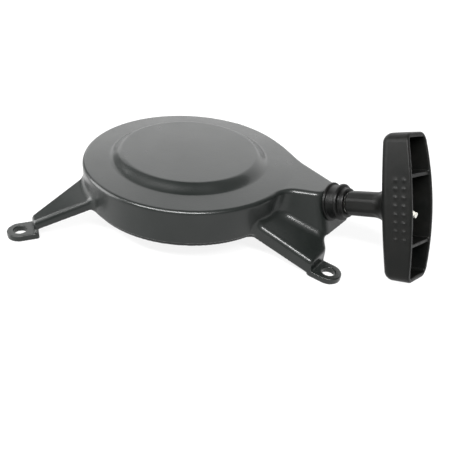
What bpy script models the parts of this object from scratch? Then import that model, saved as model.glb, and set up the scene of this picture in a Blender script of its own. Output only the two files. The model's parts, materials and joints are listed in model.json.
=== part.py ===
"""Recoil starter for a small engine, with a pressed cover on three legs, a rope reel and a T-handle.

Metres, +Z up. The drum axis is the assembly's own axis, and the lug undersides lie on z = 0.
"""

from math import acos, atan2, cos, hypot, pi, radians, sin, sqrt, tan

import bmesh
import bpy
from mathutils import Matrix, Vector

# Whole assembly: the drum axis, seen from the middle of the bounding box.
DRUM_X = -0.01818
DRUM_Y = -0.01625

# Drum of the cover.
WALL = 0.0024
RIM_Z = 0.0385
RIM_R = 0.0650
RIM_ROUND = 0.0020
SKIRT_Z = 0.0149
SKIRT_R = 0.0626
LIP_Z = 0.0180
CROWN_Z = 0.0435
CROWN_R = 0.0425
CROWN_FOOT_R = 0.0485
CROWN_FOOT_Z = 0.0394
DRUM_STEPS = 56

# Legs, 120 degrees apart, each an open channel that ends in a flat lug.
LEG_ANGLES = (radians(-34.4), radians(-154.4), radians(85.6))
LUG_HOLE_AT = 0.1048
LUG_R = 0.0074
LUG_HOLE_R = 0.00375
LUG_THICK = 0.0037
LEG_ROOT_R = 0.0660
LEG_TIP_R = 0.0972
LEG_END_WALL = 0.0024
LEG_WALL = 0.0019
LEG_ROUND = 0.0030
STEP_Z = 0.0050

# Root and tip values, for the two plain legs and for the flared one beside the snout, of the height of the top,
# the depth of the side walls and the half widths to the left and to the right, seen from the drum.
PLAIN_LEG = ((0.0250, 0.0097), (0.0062, 0.0055), (0.0145, 0.0050), (0.0145, 0.0050))
FLARED_LEG = ((0.0231, 0.0097), (0.0095, 0.0087), (0.01525, 0.0073), (0.0155, 0.0155))
FLARE_END_R = 0.0921
FLARE_TIP_HALF = 0.0095
FLARE_LIFT = 0.088
FLARE_BASE_Z = 0.0105

# Rope guide in the snout's end wall, and the pull axis through it. Distances along the axis are counted from
# the guide centre; the wall stands square to it.
GUIDE_AT = (0.08965, -0.02940, 0.03200)
PULL_YAW = radians(-37.0)
PULL_PITCH = radians(20.5)
END_WALL_FACE = -0.0036
GUIDE_TUBE_R = 0.0052
GUIDE_BORE_R = 0.0040
GUIDE_BACK = -0.0076
GUIDE_FRONT = 0.0081

# Snout: the part of the cover that carries the rope out to the guide. Its end corners lie on the end wall,
# at these distances across it, at the top and at the open bottom.
SNOUT_BASE_Z = 0.0138
SNOUT_CREST_Z = 0.0384
END_ACROSS_TOP = (-0.0090, 0.0080)
END_ACROSS_BASE = (-0.0115, 0.0165)
INNER_CORNER_TOP = (0.0580, -0.0303)
INNER_CORNER_BASE = (0.0565, -0.0385)
BACK_CORNER_TOP = (0.0574, 0.0235)
BACK_CORNER_BASE = (0.0635, 0.0280)

# T-handle.
GRIP_ROLL = radians(14.5)
NECK_START = 0.0088
NECK_R = 0.0072
NECK_FLARE = 0.0085
GRIP_FACE = 0.0333
GRIP_HALF_LENGTH = 0.0392
GRIP_HALF_WIDTH = 0.0146
GRIP_END_TAPER = 0.0028
GRIP_END_ROUND = 0.0060
GRIP_EDGE_ROUND = 0.0032
GRIP_END_DEPTH = 0.0139
GRIP_CROWN = 0.0032
GRIP_LEAN = 0.032
GRIP_WALL = 0.0026
GRIP_FLOOR = 0.0365
GRIP_RIBS = (0.0173, -0.0190)
RIB_HALF = 0.0009

# Cord.
CORD_R = 0.0020
CORD_WRAP_R = 0.0384
CORD_WRAP_Z = 0.0263
CORD_WRAP_ARC = radians(300.0)

# Reel, spring and the drive below it.
GAP = 0.0003
REEL_FLANGE_R = 0.0450
REEL_CORE_R = 0.0284
REEL_BASE_Z = 0.0178
REEL_TOP_Z = 0.0309
GROOVE_Z = (0.0204, 0.0286)
FLANGE_TAPER = 0.0013
HUB_R = 0.0106
HUB_BORE_R = 0.0079
HUB_Z = (0.0150, 0.0386)
POST_R = 0.0060
SPRING_CASE_R = 0.0395
SPRING_TURNS = 6
SPRING_STRIP = 0.0006
PAWL_PIVOT_R = 0.0200
PAWL_LENGTH = 0.0190
PAWL_REST = radians(-100.0)
PAWL_SWING = radians(28.0)
PAWL_Z = (0.0130, 0.0162)
PEG_AT = 0.0090
PEG_R = 0.0015
PIN_R = 0.0025
PLATE_R = 0.0285
PLATE_Z = (0.0101, 0.0123)

PAINT = ("cover_paint", (0.045, 0.048, 0.047), 0.36, 0.55)
BLACK_PLASTIC = ("black_plastic", (0.022, 0.022, 0.022), 0.48, 0.0)
GREY_PLASTIC = ("reel_plastic", (0.10, 0.10, 0.11), 0.5, 0.0)
STEEL = ("zinc_steel", (0.55, 0.55, 0.53), 0.32, 1.0)
SPRING_STEEL = ("spring_steel", (0.20, 0.21, 0.24), 0.28, 1.0)
BRONZE = ("bronze", (0.50, 0.33, 0.15), 0.38, 1.0)
CORD = ("cord", (0.62, 0.62, 0.58), 0.85, 0.0)


def material(kind):
    """The Principled material of this name, made once."""
    name, colour, roughness, metallic = kind
    found = bpy.data.materials.get(name)
    if found:
        return found
    made = bpy.data.materials.new(name)
    made.use_nodes = True
    shader = made.node_tree.nodes["Principled BSDF"]
    shader.inputs["Base Color"].default_value = (*colour, 1.0)
    shader.inputs["Roughness"].default_value = roughness
    shader.inputs["Metallic"].default_value = metallic
    made.diffuse_color = (*colour, 1.0)
    return made


def empty(name, parent=None, matrix=None):
    made = bpy.data.objects.new(name, None)
    made.empty_display_size = 0.01
    bpy.context.scene.collection.objects.link(made)
    made.parent = parent
    if matrix is not None:
        made.matrix_local = matrix
    return made


def finish(name, mesh_data, kind, parent, smooth_angle=35.0):
    """A linked object from a bmesh, shaded smooth up to the given angle."""
    bmesh.ops.recalc_face_normals(mesh_data, faces=mesh_data.faces)
    mesh = bpy.data.meshes.new(name)
    mesh_data.to_mesh(mesh)
    mesh_data.free()
    mesh.shade_smooth()
    mesh.set_sharp_from_angle(angle=radians(smooth_angle))
    made = bpy.data.objects.new(name, mesh)
    bpy.context.scene.collection.objects.link(made)
    made.parent = parent
    made.data.materials.append(material(kind))
    return made


def boolean(target, tool, operation):
    """Adds a Boolean between two closed meshes, and leaves the tool out of renders. The cover's long chain of
    joins and cuts keeps its faces sound with the MANIFOLD solver.
    """
    modifier = target.modifiers.new(tool.name, "BOOLEAN")
    modifier.operation = operation
    modifier.object = tool
    modifier.solver = "MANIFOLD"
    tool.hide_render = True
    tool.display_type = "WIRE"


def turned(profile, steps=24):
    """Solid of revolution about Z from an outline of (radius, height) points. An outline that starts and ends
    on the axis stays open there; any other is closed into a ring.
    """
    made = bmesh.new()
    corners = [made.verts.new((radius, 0.0, height)) for radius, height in profile]
    pairs = list(zip(corners, corners[1:]))
    if profile[0][0] > 0.0:
        pairs.append((corners[-1], corners[0]))
    edges = [made.edges.new(pair) for pair in pairs]
    bmesh.ops.spin(
        made, geom=corners + edges, cent=(0, 0, 0), axis=(0, 0, 1), angle=2 * pi, steps=steps, use_merge=True
    )
    bmesh.ops.remove_doubles(made, verts=made.verts, dist=1e-7)
    return made


def skinned(rings):
    """Solid through closed rings of equally many points, with flat caps. Its sides can twist, so they are
    triangles.
    """
    made = bmesh.new()
    loops = [[made.verts.new(point) for point in ring] for ring in rings]
    for lower, upper in zip(loops, loops[1:]):
        for i in range(len(lower)):
            j = (i + 1) % len(lower)
            made.faces.new((lower[i], lower[j], upper[j], upper[i]))
    bmesh.ops.triangulate(made, faces=made.faces)
    made.faces.new(loops[0][::-1])
    made.faces.new(loops[-1])
    return made


def prism(outline, low, high):
    return skinned([[(x, y, z) for x, y in outline] for z in (low, high)])


def arc(cx, cy, radius, start, end, steps):
    """Points of an arc, both ends included."""
    turn = (end - start) / steps
    return [(cx + radius * cos(start + turn * i), cy + radius * sin(start + turn * i)) for i in range(steps + 1)]


def circle(radius, sides, cx=0.0, cy=0.0):
    """A round outline whose corners stay off the seams of the turned pieces that it cuts."""
    phase = 0.07
    return arc(cx, cy, radius, phase, 2 * pi + phase, sides)[:-1]


def rounded(corners, steps=4):
    """A closed polygon whose corners, given as (point, radius), are replaced by arcs."""
    made = []
    for i, (point, radius) in enumerate(corners):
        here = Vector(point)
        back = (Vector(corners[i - 1][0]) - here).normalized()
        ahead = (Vector(corners[(i + 1) % len(corners)][0]) - here).normalized()
        half = back.angle(ahead) / 2
        reach = radius / tan(half)
        centre = here + (back + ahead).normalized() * (radius / sin(half))
        first = here + back * reach - centre
        last = here + ahead * reach - centre
        sweep = first.angle_signed(last)
        for k in range(steps + 1):
            spoke = first.copy()
            spoke.rotate(Matrix.Rotation(-sweep * k / steps, 2))
            made.append(tuple(centre + spoke))
    return made


def inset(outline, distance):
    """The outline moved inwards, for an outline that runs anticlockwise."""
    made = []
    for i, point in enumerate(outline):
        here = Vector(point)
        back = (here - Vector(outline[i - 1])).normalized()
        ahead = (Vector(outline[(i + 1) % len(outline)]) - here).normalized()
        side = Vector((-back.y - ahead.y, back.x + ahead.x)).normalized()
        made.append(tuple(here + side * distance / max(0.3, side.dot((-back.y, back.x)))))
    return made


def capsule(start, end, first_r, last_r, steps=8):
    """Outline of a bar with round ends of two radii."""
    dx, dy = end[0] - start[0], end[1] - start[1]
    along = atan2(dy, dx)
    lean = (first_r - last_r) / hypot(dx, dy)
    flank = pi / 2 - lean
    tail = arc(start[0], start[1], first_r, along + flank, along + 2 * pi - flank, steps)
    nose = arc(end[0], end[1], last_r, along - flank, along + flank, steps)
    return tail + nose


def tube(name, points, radius, kind, parent, resolution=2):
    """A round cord or wire along a list of points, as a curve with filled caps."""
    curve = bpy.data.curves.new(name, "CURVE")
    curve.dimensions = "3D"
    curve.bevel_depth = radius
    curve.bevel_resolution = resolution
    curve.use_fill_caps = True
    spline = curve.splines.new("POLY")
    spline.points.add(len(points) - 1)
    for slot, point in zip(spline.points, points):
        slot.co = (*point, 1.0)
    made = bpy.data.objects.new(name, curve)
    bpy.context.scene.collection.objects.link(made)
    made.parent = parent
    made.data.materials.append(material(kind))
    return made


def direction(yaw, pitch):
    return Vector((cos(pitch) * cos(yaw), cos(pitch) * sin(yaw), sin(pitch)))


def axis_matrix(origin, along, roll):
    """A frame with Z along the given direction, and Y rolled from straight up towards the left."""
    level = Vector((-along.y, along.x, 0.0)).normalized()
    up = along.cross(level)
    long_way = up * cos(roll) + level * sin(roll)
    across = long_way.cross(along)
    rows = Matrix((across, long_way, along)).transposed()
    return Matrix.Translation(origin) @ rows.to_4x4()


# ---------------------------------------------------------------- cover


def drum_profile(shrink):
    """Half section of the drum from the axis out and down, moved inwards by the wall when it cuts the hollow."""
    round_r = RIM_ROUND if not shrink else 0.0014
    top = CROWN_Z - shrink
    rim_z = RIM_Z - shrink
    rim_r = RIM_R - shrink
    foot_r = CROWN_FOOT_R - 0.8 * shrink
    crest_r = CROWN_R - 0.8 * shrink
    foot_z = CROWN_FOOT_Z - shrink
    shoulder = []
    steps = 6
    for i in range(steps + 1):
        t = i / steps
        ease = (1 - cos(pi * t)) / 2
        shoulder.append((crest_r + (foot_r - crest_r) * t, top - 0.0002 + (foot_z - top + 0.0002) * ease))
    rim = arc(rim_r - round_r, rim_z - round_r, round_r, pi / 2, 0.0, 3)
    skirt_r = SKIRT_R - shrink
    base = SKIRT_Z if not shrink else SKIRT_Z - 0.004
    lower = [(skirt_r, base), (0.0, base)]
    if not shrink:
        lower = [(rim_r - 0.0006, LIP_Z + 0.0006), (SKIRT_R + 0.0004, LIP_Z)] + lower
    return [(0.0, top), (0.70 * crest_r, top)] + shoulder + rim + lower


def leg_section(at, inward, below, flared):
    """One cross section of a leg, as (across, height) points: a top between rounded corners, moved inwards all
    round by the wall and run on below its side walls when it cuts the channel.
    """
    share = (at - LEG_ROOT_R) / (LEG_TIP_R - LEG_ROOT_R)
    sizes = FLARED_LEG if flared else PLAIN_LEG
    top, depth, left, right = (root + (tip - root) * share for root, tip in sizes)
    if flared and at > FLARE_END_R:
        right += (FLARE_TIP_HALF - right) * (at - FLARE_END_R) / (LEG_TIP_R - FLARE_END_R)
    lift = FLARE_LIFT * (left + right) if flared else 0.0
    bend = max(0.0004, LEG_ROUND - inward)
    base = top - depth - below
    far_base = base
    if flared and not inward and at < FLARE_END_R:
        far_base = max(base, FLARE_BASE_Z)
    top -= inward
    left -= inward
    right -= inward
    near = arc(-left + bend, top - bend, bend, pi, pi / 2, 3)
    far = arc(right - bend, top - bend + lift, bend, pi / 2, 0.0, 3)
    return [(-left, base)] + near + far + [(right, far_base)]


def leg_solid(name, angle, inward, span, below, flared, parent):
    """Outer block of a leg, or with the wall taken inwards, the block that hollows it."""
    rings = []
    for at in (span[0], 0.0700, 0.0760, 0.0860, FLARE_END_R, span[1]):
        section = leg_section(at, inward, below, flared)
        rings.append([(at, across, height) for across, height in section])
    made = finish(name, skinned(rings), PAINT, parent)
    made.rotation_euler.z = angle
    return made


def lug(name, angle, parent):
    """Flat foot with a round end, and the step that stands on it under the leg's end wall."""
    inner = LEG_TIP_R - LEG_END_WALL
    plate = [(inner + 0.0006, -LUG_R)] + arc(LUG_HOLE_AT, 0.0, LUG_R, -pi / 2, pi / 2, 12) + [(inner + 0.0006, LUG_R)]
    made = finish(name, prism(plate, 0.0, LUG_THICK), PAINT, parent)
    made.rotation_euler.z = angle
    half = LUG_R - 0.0002
    front = LEG_TIP_R - 0.0002
    foot = finish(f"{name}_step", prism([(inner, -half), (front, -half), (front, half), (inner, half)],
                                        0.0001, STEP_Z), PAINT, parent)
    foot.rotation_euler.z = angle
    boolean(made, foot, "UNION")
    return made


def end_wall_point(across, height):
    """Plan point on the end wall's outer face at this height."""
    reach = END_WALL_FACE / cos(PULL_PITCH) - (height - GUIDE_AT[2]) * tan(PULL_PITCH)
    x = GUIDE_AT[0] + reach * cos(PULL_YAW) - across * sin(PULL_YAW)
    y = GUIDE_AT[1] + reach * sin(PULL_YAW) + across * cos(PULL_YAW)
    return x, y


def snout_plan(height, inner, back, across):
    """Outline of the snout at this height; its first and last points lie inside the drum."""
    front_end, back_end = (end_wall_point(distance, height) for distance in across)
    start = (0.030, inner[1] - 0.001)
    return rounded(
        (
            (start, 0.001),
            (inner, 0.006),
            (front_end, 0.0035),
            (back_end, 0.003),
            (back, 0.020),
            ((0.030, 0.050), 0.001),
        )
    )


def snout_rings(grow):
    """Rings of the snout from its open bottom to its rounded top edge."""
    top = snout_plan(SNOUT_CREST_Z, INNER_CORNER_TOP, BACK_CORNER_TOP, END_ACROSS_TOP)
    bottom = snout_plan(SNOUT_BASE_Z, INNER_CORNER_BASE, BACK_CORNER_BASE, END_ACROSS_BASE)
    crest = SNOUT_CREST_Z
    levels = ((SNOUT_BASE_Z, 0.0), (crest - 0.0020, 0.0), (crest - 0.0007, 0.0006), (crest, 0.0020))
    if grow:
        levels = ((SNOUT_BASE_Z - 0.004, 0.0), (crest - grow, 0.0))
    rings = []
    for height, pull in levels:
        share = (height - SNOUT_BASE_Z) / (crest - SNOUT_BASE_Z)
        outline = [
            (low[0] + (high[0] - low[0]) * share, low[1] + (high[1] - low[1]) * share)
            for low, high in zip(bottom, top)
        ]
        rings.append([(x, y, height) for x, y in inset(outline, grow + pull)])
    return rings


def cover(parent, guide_frame):
    body = finish("housing", turned(drum_profile(0.0), DRUM_STEPS), PAINT, parent)
    for i, angle in enumerate(LEG_ANGLES):
        flared = i == 0
        block = leg_solid(f"leg_block_{i + 1}", angle, 0.0, (0.0560, LEG_TIP_R), 0.0, flared, parent)
        boolean(body, block, "UNION")
        span = (RIM_R + 0.0005, LEG_TIP_R - LEG_END_WALL)
        channel = leg_solid(f"leg_channel_{i + 1}", angle, LEG_WALL, span, 0.006, flared, parent)
        boolean(body, channel, "DIFFERENCE")
    snout = finish("snout_block", skinned(snout_rings(0.0)), PAINT, parent)
    boolean(body, snout, "UNION")
    hollow = finish("drum_hollow", turned(drum_profile(WALL), DRUM_STEPS), PAINT, parent)
    boolean(body, hollow, "DIFFERENCE")
    way = finish("snout_hollow", skinned(snout_rings(WALL)), PAINT, parent)
    boolean(body, way, "DIFFERENCE")
    for i, angle in enumerate(LEG_ANGLES):
        boolean(body, lug(f"lug_block_{i + 1}", angle, parent), "UNION")
        outline = circle(LUG_HOLE_R, 20, LUG_HOLE_AT)
        bolt_way = finish(f"lug_hole_{i + 1}", prism(outline, -0.002, 0.008), PAINT, parent)
        bolt_way.rotation_euler.z = angle
        boolean(body, bolt_way, "DIFFERENCE")
    guide_way = finish("guide_hole", prism(circle(GUIDE_TUBE_R + GAP, 32), -0.0095, 0.002), PAINT, guide_frame)
    boolean(body, guide_way, "DIFFERENCE")
    return body


def ring_piece(name, inner, outer, low, high, kind, parent, steps=24):
    outline = [(inner, low), (inner, high), (outer, high), (outer, low)]
    return finish(name, turned(outline, steps), kind, parent)


# ---------------------------------------------------------------- rope guide


def rope_guide(parent):
    """Moulded collar with a flange, two rings and a nose, an eyelet in it and a clip behind the wall."""
    face = END_WALL_FACE + GAP
    seat_r, seat = 0.0062, -0.0008
    outline = [
        (GUIDE_BORE_R + 0.0004, GUIDE_BACK),
        (GUIDE_BORE_R, GUIDE_BACK + 0.0010),
        (GUIDE_BORE_R, seat),
        (seat_r, seat),
        (seat_r, GUIDE_FRONT),
        (0.0082, GUIDE_FRONT),
        (0.0086, GUIDE_FRONT - 0.0005),
        (0.0086, 0.0052),
        (0.0102, 0.0050),
        (0.0108, 0.0044),
        (0.0108, 0.0032),
        (0.0100, 0.0030),
        (0.0100, face + 0.0016),
        (0.0110, face + 0.0014),
        (0.0114, face + 0.0010),
        (0.0114, face),
        (GUIDE_TUBE_R, face),
        (GUIDE_TUBE_R, GUIDE_BACK),
    ]
    finish("rope_guide", turned(outline, 28), BLACK_PLASTIC, parent)
    clip_r, clip_back = 0.0064, -0.0074
    clip = ring_piece("guide_clip", GUIDE_TUBE_R + GAP, clip_r, clip_back, clip_back + 0.0009, SPRING_STEEL, parent)
    mouth = [(-0.002, -0.004), (-0.002, -0.009), (0.002, -0.009), (0.002, -0.004)]
    slot = finish("clip_slot", prism(mouth, -0.010, -0.004), SPRING_STEEL, parent)
    boolean(clip, slot, "DIFFERENCE")
    throat, mouth_r, outer = 0.0027, 0.0044, seat_r - GAP
    low, high = seat + GAP, GUIDE_FRONT - 0.0002
    eyelet = [
        (mouth_r - 0.0008, low),
        (throat, low + 0.0016),
        (throat, high - 0.0030),
        (throat + 0.0006, high - 0.0012),
        (mouth_r, high),
        (outer, high),
        (outer, low),
    ]
    finish("guide_eyelet", turned(eyelet, 20), STEEL, parent)


# ---------------------------------------------------------------- reel and spring


def centre_parts(parent):
    """Fixed post with its washers and screw, and the spring's cup and cover."""
    post_top = CROWN_Z - WALL - GAP
    post = [
        (0.0, post_top),
        (POST_R, post_top),
        (POST_R, 0.0397),
        (0.0090, 0.0397),
        (0.0090, 0.0389),
        (POST_R, 0.0389),
        (POST_R, 0.0100),
        (0.0027, 0.0100),
        (0.0027, 0.0240),
        (0.0, 0.0240),
    ]
    finish("centre_post", turned(post), STEEL, parent)
    ring_piece("thrust_washer", 0.0032, 0.0115, 0.0090, 0.0097, STEEL, parent)
    washer = ring_piece("lock_washer", 0.0031, 0.0053, 0.0081, 0.0087, SPRING_STEEL, parent)
    split = finish("washer_split", prism([(0.0, -0.0003), (0.008, 0.0003), (0.008, 0.0009), (0.0, 0.0003)],
                                         0.007, 0.010), STEEL, parent)
    boolean(washer, split, "DIFFERENCE")
    screw = finish("centre_screw", prism(circle(0.0058, 6), 0.0041, 0.0078), STEEL, parent)
    shank = finish("screw_shank", prism(circle(0.0024, 20), 0.0060, 0.0220), STEEL, parent)
    boolean(screw, shank, "UNION")
    case_top = post_top
    inner = SPRING_CASE_R - 0.0008
    case = [
        (POST_R + GAP, case_top),
        (SPRING_CASE_R, case_top),
        (SPRING_CASE_R, 0.0318),
        (inner, 0.0318),
        (inner, case_top - 0.0008),
        (POST_R + GAP, case_top - 0.0008),
    ]
    cup = finish("spring_case", turned(case, 48), STEEL, parent)
    tab = [(0.0374, 0.0036), (0.0391, 0.0036), (0.0391, 0.0053), (0.0374, 0.0053)]
    catch = finish("case_catch", prism(tab, 0.0330, 0.0395), STEEL, parent)
    boolean(cup, catch, "UNION")
    ring_piece("spring_cover", 0.0135, inner - GAP, 0.0319, 0.0324, STEEL, parent, 48)
    wave_washer(parent)
    mainspring(parent)


def wave_washer(parent):
    """Ring that waves three times round, between the reel hub and the drive plate."""
    steps = 36
    mid, lift, half = 0.01365, 0.0006, 0.00035
    rings = []
    for i in range(steps):
        angle = 2 * pi * i / steps
        height = mid + lift * cos(3 * angle)
        corners = ((0.0070, -half), (0.0099, -half), (0.0099, half), (0.0070, half))
        rings.append([(r * cos(angle), r * sin(angle), height + z) for r, z in corners])
    made = bmesh.new()
    loops = [[made.verts.new(point) for point in ring] for ring in rings]
    for lower, upper in zip(loops, loops[1:] + loops[:1]):
        for i in range(4):
            j = (i + 1) % 4
            made.faces.new((lower[i], lower[j], upper[j], upper[i]))
    finish("friction_spring", made, SPRING_STEEL, parent)


def mainspring(parent):
    """Flat spiral strip, its turns packed towards the case and opening towards the hub."""
    inner, outer = 0.0122, 0.0376
    low, high = 0.0328, 0.0394
    steps = SPRING_TURNS * 16
    start, end = [], []
    for i in range(steps + 1):
        t = i / steps
        angle = -2 * pi * SPRING_TURNS * (1 - t) + 0.08
        radius = inner + (outer - inner) * (1 - (1 - t) ** 1.35)
        start.append(((radius - SPRING_STRIP / 2) * cos(angle), (radius - SPRING_STRIP / 2) * sin(angle)))
        end.append(((radius + SPRING_STRIP / 2) * cos(angle), (radius + SPRING_STRIP / 2) * sin(angle)))
    rings = []
    for near, far in zip(start, end):
        rings.append([(*near, low), (*far, low), (*far, high), (*near, high)])
    finish("mainspring", skinned(rings), SPRING_STEEL, parent)


def reel(parent):
    """Two flanges, a groove core and a hub with ribs; the mainspring hooks on the tooth of the hub."""
    low, high = GROOVE_Z
    hollow_r = REEL_CORE_R - 0.0030
    outline = [
        (HUB_BORE_R, HUB_Z[0]),
        (HUB_R, HUB_Z[0]),
        (HUB_R, REEL_BASE_Z),
        (REEL_FLANGE_R, REEL_BASE_Z),
        (REEL_FLANGE_R, low - FLANGE_TAPER),
        (REEL_CORE_R, low),
        (REEL_CORE_R, high),
        (REEL_FLANGE_R, high + FLANGE_TAPER),
        (REEL_FLANGE_R, REEL_TOP_Z),
        (hollow_r, REEL_TOP_Z),
        (hollow_r, low),
        (HUB_R, low),
        (HUB_R, HUB_Z[1]),
        (HUB_BORE_R, HUB_Z[1]),
    ]
    body = finish("reel", turned(outline, 48), GREY_PLASTIC, parent)
    for k in range(3):
        bar = [(HUB_R - 0.001, -0.0010), (hollow_r + 0.001, -0.0010), (hollow_r + 0.001, 0.0010),
               (HUB_R - 0.001, 0.0010)]
        rib = finish(f"reel_rib_{k + 1}", prism(bar, low - 0.001, 0.0280), GREY_PLASTIC, parent)
        rib.rotation_euler.z = radians(90 + 120 * k)
        boolean(body, rib, "UNION")
    tooth = finish("hub_tooth", prism([(0.0095, -0.0012), (0.0123, -0.0012), (0.0123, 0.0006),
                                       (0.0095, 0.0006)], 0.0320, HUB_Z[1] - 0.0004), GREY_PLASTIC, parent)
    boolean(body, tooth, "UNION")
    for side in (0.0, pi):
        hole = finish(f"pin_hole_{int(side > 0) + 1}", prism(circle(PIN_R + GAP, 20, PAWL_PIVOT_R), 0.0160, 0.0220),
                      GREY_PLASTIC, parent)
        hole.rotation_euler.z = side
        boolean(body, hole, "DIFFERENCE")
    way = finish("cord_hole", prism(circle(CORD_R + 0.0004, 16), 0.0230, 0.0300), GREY_PLASTIC, parent)
    way.rotation_euler = (0.0, pi / 2, radians(-90.0))
    way.location.z = 0.0244
    boolean(body, way, "DIFFERENCE")
    ring_piece("reel_bush", POST_R + 0.0002, HUB_BORE_R - GAP, HUB_Z[0] + 0.0002, HUB_Z[1] - 0.0004, BRONZE, parent)
    knot("reel_knot", 0.0046, 0.0038, parent, Vector((0.0, -0.0202, 0.0249)))


def knot(name, radius, half_height, parent, at):
    """A tight stopper knot as a lumpy round solid: two crossing tucks on a barrel."""
    made = bmesh.new()
    bmesh.ops.create_uvsphere(made, u_segments=16, v_segments=8, radius=1.0)
    for vert in made.verts:
        angle = atan2(vert.co.y, vert.co.x)
        swell = 1.0 + 0.10 * sin(3 * angle + 3.0 * vert.co.z)
        vert.co = Vector((vert.co.x * swell * radius, vert.co.y * swell * radius, vert.co.z * half_height))
    made_object = finish(name, made, CORD, parent, 60.0)
    made_object.location = at
    return made_object


def wound_cord(parent):
    """The lower layers on the reel: two columns of cord side by side."""
    inner = REEL_CORE_R + GAP
    outer = CORD_WRAP_R - 2.2 * CORD_R
    low = GROOVE_Z[0] + 0.0003
    columns = [low + CORD_R - 0.00005, low + 3 * CORD_R - 0.00015]
    outline = [(inner, columns[0] - CORD_R)]
    for height in columns:
        outline += arc(outer, height, CORD_R, -pi / 2 + 0.12, pi / 2 - 0.12, 4)
    outline.append((inner, columns[1] + CORD_R))
    finish("rope_coil", turned(outline, 36), CORD, parent)


def cord_run(parent):
    """The outer wrap on the reel and the straight stretch from it to the guide's throat."""
    throat = Vector(GUIDE_AT) - direction(PULL_YAW, PULL_PITCH) * 0.0030
    leave = atan2(throat.y, throat.x) + acos(CORD_WRAP_R / hypot(throat.x, throat.y))
    points = []
    steps = 26
    for i in range(steps):
        angle = leave + CORD_WRAP_ARC * (1 - i / steps)
        points.append(Vector((CORD_WRAP_R * cos(angle), CORD_WRAP_R * sin(angle), CORD_WRAP_Z)))
    tangent = Vector((CORD_WRAP_R * cos(leave), CORD_WRAP_R * sin(leave), CORD_WRAP_Z))
    stretch = 12
    for i in range(stretch + 1):
        points.append(tangent.lerp(throat, i / stretch))
    tube("rope_run", points, CORD_R, CORD, parent)


def pawl_pin(index, parent):
    outline = [
        (0.0, 0.0219),
        (0.0042, 0.0219),
        (0.0042, GROOVE_Z[0] + GAP),
        (PIN_R, GROOVE_Z[0] + GAP),
        (PIN_R, PLATE_Z[1] + GAP),
        (0.0, PLATE_Z[1] + GAP),
    ]
    finish(f"pawl_pin_{index}", turned(outline, 20), STEEL, parent)


def pawl_spring(index, parent):
    """One open turn of wire round the pin, with a leg along the pawl and a leg on the reel."""
    wire, height, radius = 0.0004, 0.0170, 0.0034
    ring = arc(0.0, 0.0, radius, radians(20), radians(290), 18)
    first = [(radius * cos(radians(20)) + 0.0045, radius * sin(radians(20)) + 0.0016)]
    last = [(radius * cos(radians(290)) + 0.0008, radius * sin(radians(290)) - 0.0050)]
    points = [(x, y, height) for x, y in first + ring + last]
    tube(f"pawl_spring_{index}", points, wire, SPRING_STEEL, parent, 1)


def pawl(index, parent):
    """Steel dog that folds in at rest; its peg rides in the drive plate's slot."""
    tip = (PAWL_LENGTH * cos(PAWL_REST), PAWL_LENGTH * sin(PAWL_REST))
    body = finish(f"pawl_{index}", prism(capsule((0, 0), tip, 0.0042, 0.0014), *PAWL_Z), STEEL, parent)
    peg_at = (PEG_AT * cos(PAWL_REST), PEG_AT * sin(PAWL_REST))
    peg = finish(f"pawl_peg_{index}", prism(circle(PEG_R, 16, *peg_at), PLATE_Z[0] + 0.0004, PAWL_Z[0] + 0.001),
                 STEEL, parent)
    boolean(body, peg, "UNION")
    bore = finish(f"pawl_bore_{index}", prism(circle(PIN_R + GAP, 20), 0.010, 0.020), STEEL, parent)
    boolean(body, bore, "DIFFERENCE")


def slot_outline(half_width):
    """The way of a pawl's peg over the drive plate while the reel runs ahead of it."""
    steps = 10
    path = []
    for i in range(-2, steps + 3):
        turn = PAWL_SWING * i / steps
        angle = PAWL_REST + turn
        x = PAWL_PIVOT_R + PEG_AT * cos(angle)
        y = PEG_AT * sin(angle)
        path.append(Vector((x * cos(turn) + y * sin(turn), -x * sin(turn) + y * cos(turn))))
    left, right = [], []
    for i, here in enumerate(path):
        way = (path[min(i + 1, len(path) - 1)] - path[max(i - 1, 0)]).normalized()
        side = Vector((-way.y, way.x)) * half_width
        left.append(tuple(here + side))
        right.append(tuple(here - side))
    return left + right[::-1]


def drive_plate(parent):
    """Friction plate below the pawls, with a guide slot for each peg."""
    outline = [
        (POST_R + 0.0004, PLATE_Z[0]),
        (PLATE_R, PLATE_Z[0]),
        (PLATE_R, PLATE_Z[1]),
        (POST_R + 0.0004, PLATE_Z[1]),
    ]
    body = finish("drive_plate", turned(outline, 40), STEEL, parent)
    for k in range(2):
        slot = finish(f"plate_slot_{k + 1}", prism(slot_outline(PEG_R + 0.0004), 0.008, 0.014), STEEL, parent)
        slot.rotation_euler.z = pi * k
        boolean(body, slot, "DIFFERENCE")


# ---------------------------------------------------------------- handle


def grip_section(along, shrink):
    """Section of the grip at this place along it: a rounded rectangle between its two faces, which lean a little
    along the grip. With a shrink it is the section of an open cell.
    """
    reach = abs(along) / GRIP_HALF_LENGTH
    lean = -GRIP_LEAN * along
    past = max(0.0, abs(along) - (GRIP_HALF_LENGTH - GRIP_END_ROUND)) / GRIP_END_ROUND
    pull = 0.62 * GRIP_END_ROUND * (1 - sqrt(max(0.0, 1 - past * past)))
    half = GRIP_HALF_WIDTH - GRIP_END_TAPER * reach * reach - pull - shrink
    near = GRIP_FACE + pull + lean
    far = GRIP_FACE + GRIP_END_DEPTH + GRIP_CROWN * (1 - reach * reach) - pull + lean
    bend = GRIP_EDGE_ROUND
    rim_bend = 0.0012
    if shrink:
        near = GRIP_FLOOR + lean
        far = GRIP_FACE + 0.030
        bend = 0.0010
        rim_bend = 0.0005
    corners = (((half, near), bend), ((half, far), rim_bend), ((-half, far), rim_bend), ((-half, near), bend))
    return [(x, along, z) for x, z in rounded(corners, 3)]


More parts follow.
